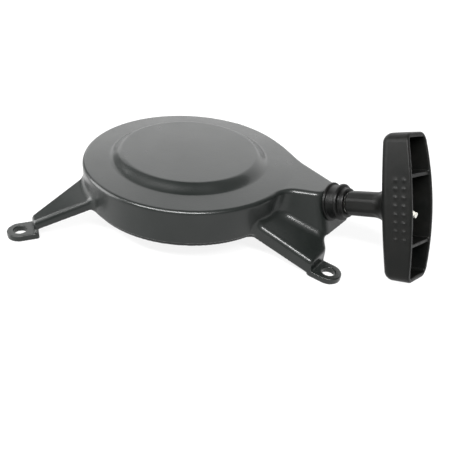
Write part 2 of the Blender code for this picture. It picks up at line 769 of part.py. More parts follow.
def grip(parent):
    """Hollow bar with two cross ribs, and a neck that widens into it."""
    straight = GRIP_HALF_LENGTH - GRIP_END_ROUND
    outer = [straight + GRIP_END_ROUND * sin(pi / 2 * k / 4) for k in range(4)] + [GRIP_HALF_LENGTH - 0.00015]
    middle = [straight * k / 5 for k in range(-4, 5)]
    stations = [-y for y in outer[::-1]] + middle + outer
    body = finish("handle_grip", skinned([grip_section(y, 0.0) for y in stations]), BLACK_PLASTIC, parent)
    flare = arc(NECK_R + NECK_FLARE, GRIP_FACE - 0.0072, NECK_FLARE, pi, pi / 2 + 0.45, 6)
    outline = [(0.0, NECK_START), (NECK_R - 0.0008, NECK_START), (NECK_R, NECK_START + 0.0008)]
    outline += flare + [(flare[-1][0], GRIP_FACE + 0.0010), (0.0, GRIP_FACE + 0.0010)]
    neck = finish("neck_block", turned(outline, 28), BLACK_PLASTIC, parent)
    boolean(body, neck, "UNION")
    inner_end = GRIP_HALF_LENGTH - GRIP_WALL
    ends = [-inner_end, GRIP_RIBS[1], GRIP_RIBS[0], inner_end]
    for k, (low, high) in enumerate(zip(ends, ends[1:])):
        first = low + (RIB_HALF if k > 0 else 0.0)
        last = high - (RIB_HALF if k < 2 else 0.0)
        places = [first + (last - first) * i / 4 for i in range(5)]
        cell = finish(f"grip_cell_{k + 1}", skinned([grip_section(y, GRIP_WALL) for y in places]),
                      BLACK_PLASTIC, parent)
        boolean(body, cell, "DIFFERENCE")
    way = finish("cord_way", prism(circle(CORD_R + 0.0005, 16), 0.0, GRIP_FLOOR + 0.005), BLACK_PLASTIC, parent)
    boolean(body, way, "DIFFERENCE")


def handle(pull_frame, swivel_frame):
    """The grip, and on the cord inside it a washer and the knot that holds the grip on."""
    grip(swivel_frame)
    seat = GRIP_FLOOR + 0.0005
    ring_piece("handle_washer", CORD_R + 0.0005, 0.0062, seat, seat + 0.0010, STEEL, swivel_frame, 24)
    first, last = -0.0021, seat + 0.0013
    lead = [(0.0, 0.0, first + (last - first) * i / 8) for i in range(9)]
    tube("rope_lead", lead, CORD_R, CORD, pull_frame)
    knot_r, knot_half = 0.0042, 0.0034
    knot("handle_knot", knot_r, knot_half, pull_frame, Vector((0.0, 0.0, last + GAP + knot_half)))


def main():
    for old in list(bpy.data.objects):
        bpy.data.objects.remove(old)
    drum = empty("drum_axis", None, Matrix.Translation((DRUM_X, DRUM_Y, 0.0)))
    guide = empty("guide_axis", drum, axis_matrix(Vector(GUIDE_AT), direction(PULL_YAW, PULL_PITCH), 0.0))
    cover(drum, guide)
    rope_guide(guide)
    centre_parts(drum)
    cord_run(drum)
    reel_axis = empty("reel_axis", drum)
    reel(reel_axis)
    wound_cord(reel_axis)
    plate_axis = empty("plate_axis", reel_axis)
    drive_plate(plate_axis)
    for index in (1, 2):
        turn = Matrix.Rotation(pi * (index - 1), 4, "Z")
        pivot = empty(f"pawl_{index}_axis", reel_axis, turn @ Matrix.Translation((PAWL_PIVOT_R, 0.0, 0.0)))
        pawl_pin(index, pivot)
        pawl_spring(index, pivot)
        pawl(index, pivot)
    pull = empty("pull_axis", drum, axis_matrix(Vector(GUIDE_AT), direction(PULL_YAW, PULL_PITCH), GRIP_ROLL))
    swivel = empty("swivel_axis", pull)
    handle(pull, swivel)


main()
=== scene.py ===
"""Looks of the recoil starter: a cast cover, a moulded T-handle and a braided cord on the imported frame.

Shapes are written in millimetres round the drum axis or the pull axis, and end in metres in the row frame.
"""

import json
from math import acos, atan2, cos, hypot, pi, radians, sin

import bpy
import numpy as np
from mathutils import Matrix, Vector

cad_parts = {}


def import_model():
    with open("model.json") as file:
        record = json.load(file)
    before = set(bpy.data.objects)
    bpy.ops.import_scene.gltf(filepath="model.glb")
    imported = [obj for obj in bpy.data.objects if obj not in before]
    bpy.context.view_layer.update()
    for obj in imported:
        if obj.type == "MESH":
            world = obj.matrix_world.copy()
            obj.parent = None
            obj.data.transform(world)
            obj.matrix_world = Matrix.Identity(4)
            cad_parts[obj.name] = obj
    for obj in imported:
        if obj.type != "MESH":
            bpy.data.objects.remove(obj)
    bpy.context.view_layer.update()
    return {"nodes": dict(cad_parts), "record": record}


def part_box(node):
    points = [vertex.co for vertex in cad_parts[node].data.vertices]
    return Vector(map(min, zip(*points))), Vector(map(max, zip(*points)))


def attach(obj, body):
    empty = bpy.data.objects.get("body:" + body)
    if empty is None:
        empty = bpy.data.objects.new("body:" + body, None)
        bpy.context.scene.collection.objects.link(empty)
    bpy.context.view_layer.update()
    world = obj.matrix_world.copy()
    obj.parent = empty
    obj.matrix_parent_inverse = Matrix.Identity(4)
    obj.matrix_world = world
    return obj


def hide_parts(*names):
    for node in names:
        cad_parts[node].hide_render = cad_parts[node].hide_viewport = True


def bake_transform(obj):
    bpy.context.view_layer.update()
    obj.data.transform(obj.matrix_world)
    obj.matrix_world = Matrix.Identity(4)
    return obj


MM = 0.001

# Camera, relative to the drum axis at the rim.
RIM_Z = 38.5
CAMERA_AT = (25.7, -292.0, 148.5)
CAMERA_TILT = radians(34.15)
CAMERA_ROLL = radians(-5.02)
CAMERA_LENS = 41.664

# Cover shell.
WALL = 2.4
RIM_R = 65.0
SKIRT_R = 62.6
SKIRT_Z = 14.9
LIP_Z = 18.0
CROWN_Z = 43.5
CROWN_FOOT_Z = 39.3
CROWN_R = 41.0
CROWN_FOOT_R = 49.6
LEG_ANGLES = (-34.4, -154.4, 85.6)
LEG_ROOT = 66.0
LEG_TIP = 97.2
LEG_END_WALL = 2.4
LEG_WALL = 1.9
STEP_Z = 5.0
# Root and tip values of a leg's top height, wall depth and half width: the plain legs, and the flared one.
PLAIN_LEG = ((25.0, 9.7), (6.2, 5.5), (14.5, 5.0))
FLARED_LEG = ((23.1, 9.7), (9.5, 8.7), (15.25, 7.3))
LUG_HOLE_AT = 104.8
LUG_R = 7.4
LUG_HOLE_R = 3.75
LUG_THICK = 3.7
LEG_START = 56.0
CHANNEL_START = 40.0
CHANNEL_R = 65.5
INNER_R = 60.2
INNER_WIDENS = 2.4
WALL_TOP = 30.0
FLARE_END = 92.1
FLARE_HALF = 15.5
FLARE_NARROWS = 6.0
FLARE_OVER = 5.1
FLARE_LIFT = 0.088
RIM_ROUND = 2.1
LEG_ROUND = 3.0
SNOUT_BLEND = 7.0
LEG_BLEND = 2.8
EDGE = 0.4

# Guide and pull axis.
GUIDE_AT = Vector((89.65, -29.40, 32.0))
PULL_YAW = radians(-37.0)
PULL_PITCH = radians(20.5)
PULL_WAY = (cos(PULL_PITCH) * cos(PULL_YAW), cos(PULL_PITCH) * sin(PULL_YAW), sin(PULL_PITCH))
END_WALL_FACE = -3.6
GUIDE_TUBE_R = 5.2
SNOUT_BASE_Z = 13.8
SNOUT_CREST_Z = 38.4

# Handle, along the pull axis from the guide centre.
GRIP_ROLL = radians(14.5)
GRIP_FACE = 33.3
GRIP_HALF_LENGTH = 39.2
GRIP_HALF_WIDTH = 14.6
GRIP_END_TAPER = 2.8
GRIP_END_DEPTH = 13.9
GRIP_CROWN = 3.2
GRIP_LEAN = 0.032
GRIP_WALL = 2.6
GRIP_FLOOR = 36.5
GRIP_RIBS = (17.3, -19.0)
GRIP_RIB_HALF = 0.95
GRIP_EDGE_ROUND = 4.2
GRIP_END_ROUND = 5.0
CELL_ROUND = 1.8
DOT_PITCH = 4.4
DOT_LEVELS = (42.1, 46.5)
DOT_HEIGHT = 0.50
DOT_SPREAD = 0.85
NECK_R = 7.2
NECK_MIDDLE = 22.0
NECK_HALF = 13.2
NECK_BLEND = 9.0

# Cord.
CORD_R = 2.0
CORD_WRAP_R = 38.4
CORD_WRAP_Z = 26.3
CORD_WRAP_ARC = radians(300.0)
WRAP_STEPS = 90
RUN_STEPS = 30
LAYER_R = 30.7
LAYER_Z = 22.7
LAYER_RISE = 3.6
LAYER_TURNS = 3
LAYER_STEPS = 64
LAYER_SHIFT_AT = 96
LAYER_SHIFT_OVER = 20
LAYER_SHIFT = 1.3
KNOT_SIZE = 0.92
KNOT_CORD_R = 1.6
KNOT_RISE = 5.5
TAIL_R = 1.5

# Studio.
FLOOR_HALF = 30.0
FLOOR_Z = -0.0004


# ---------------------------------------------------------------- fields and surfaces


def round_max(a, b, radius):
    """Where two solids' fields cross, the edge of what they share, rounded to a radius."""
    near = np.minimum(np.maximum(a, b), -radius)
    return near + np.hypot(np.maximum(a + radius, 0.0), np.maximum(b + radius, 0.0))


def round_min(a, b, radius):
    return -round_max(-a, -b, radius)


def smooth_step(t):
    t = np.clip(t, 0.0, 1.0)
    return t * t * (3.0 - 2.0 * t)


def gradient(field, points, step=0.02):
    parts = []
    for axis in range(3):
        offset = np.zeros(3)
        offset[axis] = step
        ahead = field(*(points + offset).T)
        back = field(*(points - offset).T)
        parts.append((ahead - back) / (2 * step))
    return np.stack(parts, axis=1)


def settle(field, points, rounds, most):
    """Moves each point along the gradient until it lies on the surface."""
    for _ in range(rounds):
        slope = gradient(field, points)
        size = np.maximum((slope * slope).sum(axis=1), 0.05)
        move = -(field(*points.T) / size)[:, None] * slope
        length = np.maximum(np.linalg.norm(move, axis=1), 1e-9)
        points = points + move * np.minimum(1.0, most / length)[:, None]
    return points


def crossings(values, axis):
    """For each grid line between neighbours along an axis: whether the surface crosses it, and where."""
    low = np.moveaxis(values, axis, 0)[:-1]
    high = np.moveaxis(values, axis, 0)[1:]
    crossed = (low < 0) != (high < 0)
    share = np.where(crossed, low / np.where(crossed, low - high, 1.0), 0.0)
    return np.moveaxis(crossed, 0, axis), np.moveaxis(share, 0, axis), np.moveaxis(low < 0, 0, axis)


def net(values):
    """Quads through the cells that the zero surface crosses, and each one's mean crossing in grid units."""
    cells = tuple(n - 1 for n in values.shape)
    total = np.zeros((*cells, 3), np.float32)
    count = np.zeros(cells, np.float32)
    lines = []
    for axis in range(3):
        crossed, share, inside = crossings(values, axis)
        lines.append((crossed, inside))
        others = [i for i in range(3) if i != axis]
        for first in (0, 1):
            for second in (0, 1):
                cut = [slice(None)] * 3
                cut[others[0]] = slice(first, first + cells[others[0]])
                cut[others[1]] = slice(second, second + cells[others[1]])
                here = crossed[tuple(cut)]
                count += here
                total[..., axis] += share[tuple(cut)] * here
                total[..., others[0]] += first * here
                total[..., others[1]] += second * here
    used = count > 0
    number = np.full(cells, -1, np.int64)
    number[used] = np.arange(int(used.sum()))
    points = np.argwhere(used) + total[used] / count[used][:, None]
    quads = []
    for axis, (crossed, inside) in enumerate(lines):
        one, two = (axis + 1) % 3, (axis + 2) % 3
        at = np.argwhere(crossed)
        keep = (at[:, one] > 0) & (at[:, two] > 0) & (at[:, one] < cells[one]) & (at[:, two] < cells[two])
        at = at[keep]
        corners = []
        for back_one, back_two in ((1, 1), (0, 1), (0, 0), (1, 0)):
            cell = at.copy()
            cell[:, one] -= back_one
            cell[:, two] -= back_two
            corners.append(number[tuple(cell.T)])
        face = np.stack(corners, axis=1)
        outward = inside[tuple(at.T)]
        quads.append(np.where(outward[:, None], face, face[:, ::-1]))
    return points, np.concatenate(quads)


def relaxed(points, quads):
    """Each point moved halfway to the mean of its neighbours."""
    total = np.zeros_like(points)
    count = np.zeros(len(points))
    for i in range(4):
        here, there = quads[:, i], quads[:, (i + 1) % 4]
        for a, b in ((here, there), (there, here)):
            for axis in range(3):
                total[:, axis] += np.bincount(a, weights=points[b, axis], minlength=len(points))
            count += np.bincount(a, minlength=len(points))
    return 0.5 * points + 0.5 * total / np.maximum(count, 1.0)[:, None]


def sculpted(name, field, low, high, pitch, place, material):
    """The zero surface of a field as a mesh with the field's own normals."""
    grids = [np.arange(a, b + pitch, pitch) for a, b in zip(low, high)]
    x, y, z = np.meshgrid(*grids, indexing="ij", sparse=True)
    values = np.broadcast_to(field(x, y, z), tuple(len(g) for g in grids))
    points, quads = net(values)
    points = points * pitch + np.array([g[0] for g in grids])
    points = settle(field, points, 2, pitch * 0.7)
    for _ in range(2):
        points = settle(field, relaxed(points, quads), 2, pitch * 0.5)
    slope = gradient(field, points, 0.12)
    normals = slope / np.maximum(np.linalg.norm(slope, axis=1), 1e-9)[:, None]
    turn = np.array(place.to_3x3().normalized())
    mesh = bpy.data.meshes.new(name)
    mesh.from_pydata(points.tolist(), [], quads.tolist())
    mesh.transform(place)
    mesh.shade_smooth()
    mesh.normals_split_custom_set_from_vertices((normals @ turn.T).tolist())
    return linked(name, mesh, material)


def linked(name, mesh, material):
    made = bpy.data.objects.new(name, mesh)
    bpy.context.scene.collection.objects.link(made)
    mesh.materials.append(material)
    return made


# ---------------------------------------------------------------- turned and swept shapes


def faceted(name, points, faces, place, material, sharp=None):
    mesh = bpy.data.meshes.new(name)
    mesh.from_pydata([tuple(p) for p in points], [], faces)
    mesh.transform(place)
    mesh.shade_smooth()
    if sharp:
        mesh.set_sharp_from_angle(angle=radians(sharp))
    return linked(name, mesh, material)


def softened(outline, radius, steps=3):
    """A closed outline with each corner replaced by a short arc."""
    made = []
    for i, here in enumerate(outline):
        back = Vector(outline[i - 1]) - Vector(here)
        ahead = Vector(outline[(i + 1) % len(outline)]) - Vector(here)
        reach = min(radius, 0.45 * back.length, 0.45 * ahead.length)
        first = Vector(here) + back.normalized() * reach
        last = Vector(here) + ahead.normalized() * reach
        for k in range(steps + 1):
            t = k / steps
            made.append((1 - t) ** 2 * first + 2 * t * (1 - t) * Vector(here) + t * t * last)
    return made


def turned(name, outline, place, material, steps=96, radius=0.35):
    """A closed outline of (radius, height) points, softened and turned round Z."""
    ring = softened(outline, radius)
    points, faces = [], []
    for i in range(steps):
        angle = 2 * pi * i / steps
        points += [(p.x * cos(angle), p.x * sin(angle), p.y) for p in ring]
    size = len(ring)
    for i in range(steps):
        for k in range(size):
            a, b = i * size, (i + 1) % steps * size
            j = (k + 1) % size
            faces.append((a + k, a + j, b + j, b + k))
    return faceted(name, points, faces, place, material, 50)


def swept(name, path, radius, place, material, sides=20):
    """A round cord along a path, with flat ends."""
    path = [Vector(p) for p in path]
    ways = []
    for i in range(len(path)):
        ways.append((path[min(i + 1, len(path) - 1)] - path[max(i - 1, 0)]).normalized())
    side = ways[0].orthogonal().normalized()
    points, faces = [], []
    for here, way in zip(path, ways):
        side = (side - way * side.dot(way)).normalized()
        other = way.cross(side)
        for k in range(sides):
            angle = 2 * pi * k / sides
            points.append(here + (side * cos(angle) + other * sin(angle)) * radius)
    for i in range(len(path) - 1):
        for k in range(sides):
            j = (k + 1) % sides
            a, b = i * sides, (i + 1) * sides
            faces.append((a + k, a + j, b + j, b + k))
    faces.append(tuple(range(sides))[::-1])
    faces.append(tuple(range((len(path) - 1) * sides, len(path) * sides)))
    return faceted(name, points, faces, place, material, 60)


# ---------------------------------------------------------------- materials


class Look:
    """A material with a Principled shader, and the few node chains that the pieces share."""

    def __init__(self, name, colour, roughness, metallic=0.0, specular=0.5):
        self.material = bpy.data.materials.new(name)
        self.material.use_nodes = True
        self.tree = self.material.node_tree
        self.shader = self.tree.nodes["Principled BSDF"]
        self.set("Base Color", (*colour, 1.0))
        self.set("Roughness", roughness)
        self.set("Metallic", metallic)
        self.set("Specular IOR Level", specular)
        self.place = self.node("ShaderNodeTexCoord").outputs["Object"]
        self.material.diffuse_color = (*colour, 1.0)

    def set(self, socket, value):
        self.shader.inputs[socket].default_value = value

    def node(self, kind, **settings):
        made = self.tree.nodes.new(kind)
        for key, value in settings.items():
            setattr(made, key, value)
        return made

    def link(self, output, target):
        self.tree.links.new(output, target)

    def noise(self, scale, detail=3.0, stretch=None, distortion=0.0):
        made = self.node("ShaderNodeTexNoise")
        made.inputs["Scale"].default_value = scale
        made.inputs["Detail"].default_value = detail
        made.inputs["Distortion"].default_value = distortion
        place = self.place
        if stretch:
            mapping = self.node("ShaderNodeMapping")
            mapping.inputs["Scale"].default_value = stretch
            self.link(place, mapping.inputs["Vector"])
            place = mapping.outputs["Vector"]
        self.link(place, made.inputs["Vector"])
        return made.outputs["Fac"]

    def ranged(self, value, low, high, to_low, to_high):
        made = self.node("ShaderNodeMapRange")
        for key, number in (("From Min", low), ("From Max", high), ("To Min", to_low), ("To Max", to_high)):
            made.inputs[key].default_value = number
        self.link(value, made.inputs["Value"])
        return made.outputs["Result"]

    def mixed(self, share, first, second):
        made = self.node("ShaderNodeMix", data_type="RGBA")
        self.link(share, made.inputs["Factor"])
        for key, colour in (("A", first), ("B", second)):
            socket = next(s for s in made.inputs if s.name == key and s.type == "RGBA")
            socket.default_value = (*colour, 1.0)
        return next(s for s in made.outputs if s.type == "RGBA")

    def tinted(self, value, low, high, dark, light):
        """Base colour between two tints, by a value."""
        out = self.mixed(self.ranged(value, low, high, 0.0, 1.0), dark, light)
        self.link(out, self.shader.inputs["Base Color"])

    def rough(self, value, low, high, to_low, to_high):
        self.link(self.ranged(value, low, high, to_low, to_high), self.shader.inputs["Roughness"])

    def bump(self, value, strength, distance, before=None):
        made = self.node("ShaderNodeBump")
        made.inputs["Strength"].default_value = strength
        made.inputs["Distance"].default_value = distance
        self.link(value, made.inputs["Height"])
        if before is not None:
            self.link(before, made.inputs["Normal"])
        self.link(made.outputs["Normal"], self.shader.inputs["Normal"])
        return made.outputs["Normal"]


def cover_paint():
    """Satin dark paint on a casting: soft cloudiness, fine orange peel and a little settled dust."""
    look = Look("cover_paint", (0.006, 0.007, 0.0066), 0.30, 0.0, 0.29)
    look.set("Coat Weight", 0.20)
    look.set("Coat Roughness", 0.13)
    cloud = look.noise(28.0, 4.0)
    look.tinted(cloud, 0.35, 0.68, (0.0042, 0.0056, 0.0050), (0.0084, 0.0096, 0.0090))
    look.rough(look.noise(60.0, 5.0), 0.3, 0.7, 0.27, 0.35)
    peel = look.bump(look.noise(900.0, 2.0), 0.10, 0.0004)
    look.bump(look.noise(3800.0, 2.0), 0.12, 0.00012, peel)
    return look.material


def grip_plastic():
    """Moulded black plastic with a fine spark-eroded grain."""
    look = Look("grip_plastic", (0.002, 0.002, 0.002), 0.42, 0.0, 0.16)
    look.tinted(look.noise(70.0, 4.0), 0.3, 0.7, (0.0014, 0.0018, 0.0016), (0.0034, 0.0034, 0.0030))
    look.rough(look.noise(240.0, 4.0), 0.3, 0.7, 0.36, 0.48)
    grain = look.bump(look.noise(2600.0, 3.0), 0.30, 0.0002)
    look.bump(look.noise(420.0, 2.0), 0.08, 0.0005, grain)
    return look.material


def collar_plastic():
    """Smoother black plastic for the guide collar."""
    look = Look("collar_plastic", (0.002, 0.002, 0.002), 0.34, 0.0, 0.18)
    look.tinted(look.noise(120.0, 4.0), 0.3, 0.7, (0.0014, 0.0017, 0.0016), (0.0034, 0.0033, 0.0031))
    look.rough(look.noise(300.0, 4.0), 0.3, 0.7, 0.30, 0.44)
    look.bump(look.noise(2200.0, 3.0), 0.15, 0.0002)
    return look.material


def metal(name, dark, light, roughness, grain):
    """Rolled or plated metal, with blotches, fine scratches and uneven gloss."""
    look = Look(name, light, roughness, 1.0)
    blotch = look.noise(90.0, 5.0, None, 0.4)
    look.tinted(blotch, 0.3, 0.7, dark, light)
    look.rough(look.noise(260.0, 5.0), 0.3, 0.7, roughness - 0.06, roughness + 0.12)
    look.bump(look.noise(900.0, 4.0, grain), 0.14, 0.0002)
    return look.material


def reel_plastic():
    look = Look("reel_plastic", (0.055, 0.056, 0.060), 0.5)
    look.tinted(look.noise(80.0, 4.0), 0.3, 0.7, (0.046, 0.047, 0.052), (0.066, 0.067, 0.070))
    look.rough(look.noise(200.0, 4.0), 0.3, 0.7, 0.44, 0.58)
    look.bump(look.noise(1800.0, 3.0), 0.20, 0.0002)
    return look.material


def cord_fibre():
    """Braided white cord with a faint soiled tint; the plait shows as a fine diamond relief."""
    look = Look("cord", (0.62, 0.61, 0.56), 0.85)
    look.set("Sheen Weight", 0.3)
    plait = look.node("ShaderNodeTexVoronoi", feature="SMOOTH_F1")
    plait.inputs["Scale"].default_value = 900.0
    plait.inputs["Smoothness"].default_value = 0.35
    look.link(look.place, plait.inputs["Vector"])
    look.tinted(look.noise(260.0, 5.0), 0.3, 0.7, (0.50, 0.48, 0.42), (0.72, 0.71, 0.67))
    relief = look.bump(look.ranged(plait.outputs["Distance"], 0.0, 0.8, 1.0, 0.0), 0.9, 0.0005)
    look.bump(look.noise(5200.0, 3.0), 0.4, 0.0001, relief)
    return look.material


# ---------------------------------------------------------------- cover


def leg_coordinates(x, y, degrees):
    """Distance out along a leg, and across it, for points round the drum axis."""
    angle = radians(degrees)
    return x * cos(angle) + y * sin(angle), y * cos(angle) - x * sin(angle)


def leg_fields(x, y, z, degrees, inset):
    """Distances out and across, and a leg's fields moved inwards by inset: top with sides, and lower edge."""
    out, across = leg_coordinates(x, y, degrees)
    share = (out - LEG_ROOT) / (LEG_TIP - LEG_ROOT)
    flared = degrees == LEG_ANGLES[0]
    sizes = FLARED_LEG if flared else PLAIN_LEG
    crest, depth, half = (root + (tip - root) * share for root, tip in sizes)
    base = (crest - depth - z) * 0.9
    far = half
    if flared:
        far = FLARE_HALF - FLARE_NARROWS * np.clip((out - FLARE_END) / FLARE_OVER, 0.0, 1.0)
        crest = crest + FLARE_LIFT * np.clip(across + half, 0.0, half + far)
    top = (z - crest) * 0.9 + inset
    round_r = max(0.8, LEG_ROUND - 0.9 * inset)
    body = round_max(top, (-across - half) * 0.96 + inset, round_r)
    return out, across, round_max(body, (across - far) * 0.96 + inset, round_r), base


def along_pull(x, y, z):
    """Distance along the pull axis from the guide's centre."""
    return (x - GUIDE_AT.x) * PULL_WAY[0] + (y - GUIDE_AT.y) * PULL_WAY[1] + (z - GUIDE_AT.z) * PULL_WAY[2]


def snout_side(x, y, z, inset):
    """Field of the snout's walls: the drafted front, the end wall square to the pull, and the back."""
    rise = np.maximum(0.0, (z - SNOUT_BASE_Z) / (SNOUT_CREST_Z - SNOUT_BASE_Z))
    reach = END_WALL_FACE / cos(PULL_PITCH) - (z - GUIDE_AT.z) * np.tan(PULL_PITCH)

    def on_end(across):
        return (
            GUIDE_AT.x + reach * cos(PULL_YAW) - across * sin(PULL_YAW),
            GUIDE_AT.y + reach * sin(PULL_YAW) + across * cos(PULL_YAW),
        )

    def wall(first, second):
        way_x, way_y = second[0] - first[0], second[1] - first[1]
        return ((x - first[0]) * way_y - (y - first[1]) * way_x) / np.sqrt(way_x**2 + way_y**2)

    front_corner = on_end(-11.5 + 2.5 * rise)
    back_corner = on_end(16.5 - 8.5 * rise)
    front = wall((56.5 + 1.5 * rise, -38.5 + 8.2 * rise), front_corner) * 0.95
    bend = (63.5 - 6.1 * rise, 28.0 - 4.5 * rise)
    back = np.maximum(wall(back_corner, bend), wall(bend, (30.0, 50.0)))
    end = along_pull(x, y, z) - END_WALL_FACE
    made = round_max(front + inset, end + inset, 3.5 - 0.8 * inset)
    made = round_max(made, back + inset, 3.0 - 0.6 * inset)
    return round_max(made, 30.0 - x, 1.0)


def cover_field(x, y, z):
    """The whole shell: drum, snout, legs and lugs outside, less the room inside and the holes."""
    radius = np.sqrt(x * x + y * y)
    crown = 1.0 - smooth_step((radius - CROWN_R) / (CROWN_FOOT_R - CROWN_R))
    ledge = np.clip((radius - CROWN_FOOT_R) / (RIM_R - CROWN_FOOT_R), 0.0, 1.0)
    height = CROWN_FOOT_Z - (CROWN_FOOT_Z - RIM_Z) * ledge + (CROWN_Z - CROWN_FOOT_Z) * crown
    top = (z - height) * 0.97
    snout = snout_side(x, y, z, 0.0)
    plan = round_min(radius - RIM_R, snout, SNOUT_BLEND)
    upper = round_max(round_max(plan, top, RIM_ROUND), LIP_Z - z, 0.7)
    lower = round_max(radius - SKIRT_R, round_max(SKIRT_Z - z, z - WALL_TOP, 0.1), 0.6)
    skirt = round_max(snout, round_max(SNOUT_BASE_Z - z, z - WALL_TOP, 0.1), 0.6)
    body = np.minimum(round_min(upper, lower, 0.5), skirt)
    lean = np.clip((z - SKIRT_Z) / 21.0, 0.0, 1.0)
    inner = round_min(radius - (INNER_R + INNER_WIDENS * lean), snout_side(x, y, z, WALL), 5.0)
    room = round_max(inner, top + WALL, 1.4)
    lugs = []
    inner_end = LEG_TIP - LEG_END_WALL
    for degrees in LEG_ANGLES:
        out, across, block, base = leg_fields(x, y, z, degrees, 0.0)
        leg = round_max(round_max(block, base, 0.7), out - LEG_TIP, 1.6)
        leg = round_max(leg, LEG_START - out, 0.5)
        body = round_min(body, leg, LEG_BLEND)
        _, _, channel, _ = leg_fields(x, y, z, degrees, LEG_WALL)
        channel = round_max(round_max(channel, CHANNEL_R - radius, 0.8), out - inner_end, 0.8)
        channel = np.maximum(channel, CHANNEL_START - out)
        room = np.minimum(room, channel)
        hole = np.sqrt((out - LUG_HOLE_AT) ** 2 + across**2)
        tongue = np.where(out > LUG_HOLE_AT, hole, np.abs(across)) - LUG_R
        foot = round_max(tongue, inner_end + 0.6 - out, 0.3)
        foot = round_max(foot, np.abs(z - LUG_THICK / 2) - LUG_THICK / 2, 0.5)
        step = round_max(np.abs(across) - LUG_R + 0.2, np.abs(z - STEP_Z / 2) - STEP_Z / 2, 0.6)
        step = round_max(step, np.abs(out - inner_end - 1.1) - 1.1, 0.5)
        lugs.append((np.minimum(foot, step), hole))
    shell = round_max(body, -room, EDGE)
    for lug, hole in lugs:
        shell = round_min(shell, lug, 1.0)
        shell = round_max(shell, LUG_HOLE_R - hole, EDGE)
    return round_max(shell, guide_bore(x, y, z), 0.3)


def guide_bore(x, y, z):
    """Field that is positive inside the guide's hole through the end wall."""
    along = along_pull(x, y, z)
    squared = (x - GUIDE_AT.x) ** 2 + (y - GUIDE_AT.y) ** 2 + (z - GUIDE_AT.z) ** 2
    off = np.sqrt(np.maximum(squared - along * along, 0.0))
    return -np.maximum(off - GUIDE_TUBE_R - 0.4, np.abs(along + 4.0) - 6.0)


# ---------------------------------------------------------------- handle


def grip_field(x, y, z):
    """Hollow bar with two cross ribs, and a neck that widens into it."""
    reach = np.minimum(1.2, np.abs(y) / GRIP_HALF_LENGTH)
    half = GRIP_HALF_WIDTH - GRIP_END_TAPER * reach * reach
    level = z + GRIP_LEAN * y
    far = GRIP_FACE + GRIP_END_DEPTH + GRIP_CROWN * (1 - reach * reach)
    bar = round_max(np.abs(x) - half, GRIP_FACE - level, GRIP_EDGE_ROUND)
    bar = round_max(bar, np.abs(y) - GRIP_HALF_LENGTH, GRIP_END_ROUND)
    bar = round_max(bar, level - far, 0.9)
    off = np.sqrt(x * x + y * y)
    flat = np.maximum(np.abs(x), np.abs(y))
    slant = (np.abs(x) + np.abs(y)) * 0.7071
    neck = round_max(flat - NECK_R + 0.3, slant - NECK_R + 0.1, 1.0)
    neck = round_max(neck, np.abs(z - NECK_MIDDLE) - NECK_HALF, 0.7)
    solid = round_min(bar, neck, NECK_BLEND)
    cell = round_max(np.abs(x) - half + GRIP_WALL, np.abs(y) - GRIP_HALF_LENGTH + GRIP_WALL, CELL_ROUND)
    for at in GRIP_RIBS:
        rib = np.maximum(np.abs(y - at) - GRIP_RIB_HALF, level - far + 0.7)
        cell = round_max(cell, -rib, 0.8)
    cell = round_max(cell, GRIP_FLOOR - level, 0.8)
    solid = round_max(solid, -cell, 0.45)
    solid = np.maximum(solid, CORD_R + 0.5 - off)
    return solid - raised_dots(x, y, level, half)


def raised_dots(x, y, level, half):
    """Plain round dots in two rows on the outside of the two broad sides, for a better hold."""
    row = (np.clip(np.floor(y / DOT_PITCH), -4, 3) + 0.5) * DOT_PITCH
    column = np.where(level > sum(DOT_LEVELS) / 2, DOT_LEVELS[1], DOT_LEVELS[0])
    gap = (y - row) ** 2 + (level - column) ** 2
    return np.where(np.abs(x) > half - 1.2, DOT_HEIGHT * np.exp(-gap / DOT_SPREAD), 0.0)


def knot_path(size, turns=96):
    """A pulled-tight stopper knot as one closed-looking loop."""
    path = []
    for i in range(turns):
        t = 2 * pi * i / turns
        here = Vector((sin(t) + 1.6 * sin(2 * t), cos(t) - 1.6 * cos(2 * t), -1.1 * sin(3 * t)))
        path.append(here * size)
    return path


# ---------------------------------------------------------------- assembly


def axis_matrix(origin, along, roll):
    """A frame with Z along the given direction, and Y rolled from straight up towards the left."""
    level = Vector((-along.y, along.x, 0.0)).normalized()
    up = along.cross(level)
    long_way = up * cos(roll) + level * sin(roll)
    rows = Matrix((long_way.cross(along), long_way, along)).transposed()
    return Matrix.Translation(origin) @ rows.to_4x4()


def add(piece, body, slot, *nodes):
    """A piece that rides on a body and stands for some CAD nodes. The slot argument is not used."""
    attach(piece, body)
    if nodes:
        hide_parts(*nodes)
    return piece


def build_cover(drum, looks):
    low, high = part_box("housing")
    shift = drum.translation
    low = [(low[i] - shift[i]) / MM - 2.0 for i in range(3)]
    high = [(high[i] - shift[i]) / MM + 2.0 for i in range(3)]
    shell = sculpted("cover_shell", cover_field, low, high, 0.8, drum, looks["cover_paint"])
    add(shell, "cover", "cover_paint", "housing")


def build_guide(guide, looks):
    face = END_WALL_FACE + 0.3
    collar = [
        (4.4, -7.6), (4.0, -6.6), (4.0, -0.8), (6.2, -0.8), (6.2, 8.1), (8.3, 8.1), (8.6, 7.5), (8.6, 5.2),
        (10.2, 5.0), (10.8, 4.4), (10.8, 3.2), (10.0, 3.0), (10.0, face + 1.6), (11.0, face + 1.4),
        (11.4, face + 1.0), (11.4, face), (5.2, face), (5.2, -7.6),
    ]
    piece = turned("guide_collar", collar, guide, looks["collar_plastic"])
    add(piece, "cover", "black_plastic", "rope_guide")
    eyelet = [(3.6, -0.5), (2.7, 1.1), (2.7, 4.9), (3.3, 6.7), (4.4, 7.9), (5.9, 7.9), (5.9, -0.5)]
    piece = turned("guide_ferrule", eyelet, guide, looks["zinc_steel"], 64, 0.8)
    add(piece, "cover", "zinc_steel", "guide_eyelet")


